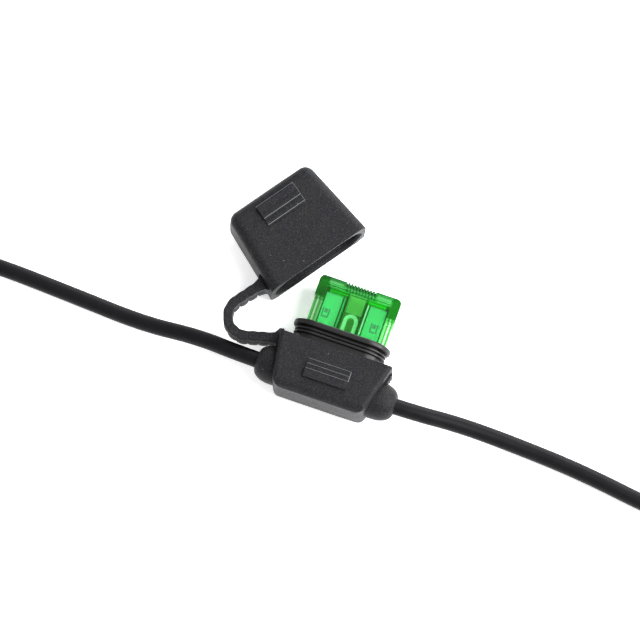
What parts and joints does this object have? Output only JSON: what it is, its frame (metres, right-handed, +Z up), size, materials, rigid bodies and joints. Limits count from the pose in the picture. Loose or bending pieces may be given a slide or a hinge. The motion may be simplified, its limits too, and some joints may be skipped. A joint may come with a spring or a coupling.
{
  "type": "inline blade fuse holder",
  "caption": "An inline holder for one blade fuse, with a lead at each side and a rubber cap on a strap that covers the fuse.",
  "frame": {"origin": "On the lead axis, midway between the two leads, on the crest of the grip pad that the holder lies on.", "axes": "X runs along the leads to the right one. Y is the way the fuse pulls out. Z is up from the floor, square to the broad faces."},
  "size_m": [0.2451, 0.0631, 0.0149],
  "materials": {
    "rubber_black": "matt, finely grained",
    "core_black": "smooth and glossy",
    "tinned_brass": "tinned, slightly dull",
    "jacket_black": "smooth, half matt",
    "copper": "bare stranded copper",
    "fuse_green": "clear green plastic",
    "zinc": "bright stamped zinc"
  },
  "bodies": {
    "holder": {"holder_body": "rubber_black", "socket_core": "core_black", "terminal_left": "tinned_brass", "terminal_right": "tinned_brass", "lead_left": "jacket_black", "lead_right": "jacket_black", "conductor_left": "copper", "conductor_right": "copper"},
    "strap": {"tether_strap": "rubber_black"},
    "cap": {"cap": "rubber_black"},
    "fuse": {"fuse_housing": "fuse_green", "fuse_element": "zinc"}
  },
  "joints": [
    {"name": "cap_swing", "type": "hinge", "parent": "holder", "child": "strap", "pos_m": [-0.0124, 0.0063, 0.0074], "axis": [-0.1102, 0.1206, 0.9866], "range_deg": [-42.3, 50], "deforming": ["tether_strap"]},
    {"name": "cap_turn", "type": "hinge", "parent": "strap", "child": "cap", "pos_m": [-0.02146, 0.01726, 0.00672], "axis": [0.5635, 0.0077, 0.8261], "range_deg": [-15.2, 18], "deforming": ["tether_strap"]},
    {"name": "fuse_pull", "type": "slide", "parent": "holder", "child": "fuse", "axis": [0, 1, 0], "range_m": [0, 0.0093]}
  ],
  "couplings": [
    {"joint": "cap_turn", "follows": "cap_swing", "ratio": 0.3587}
  ]
}
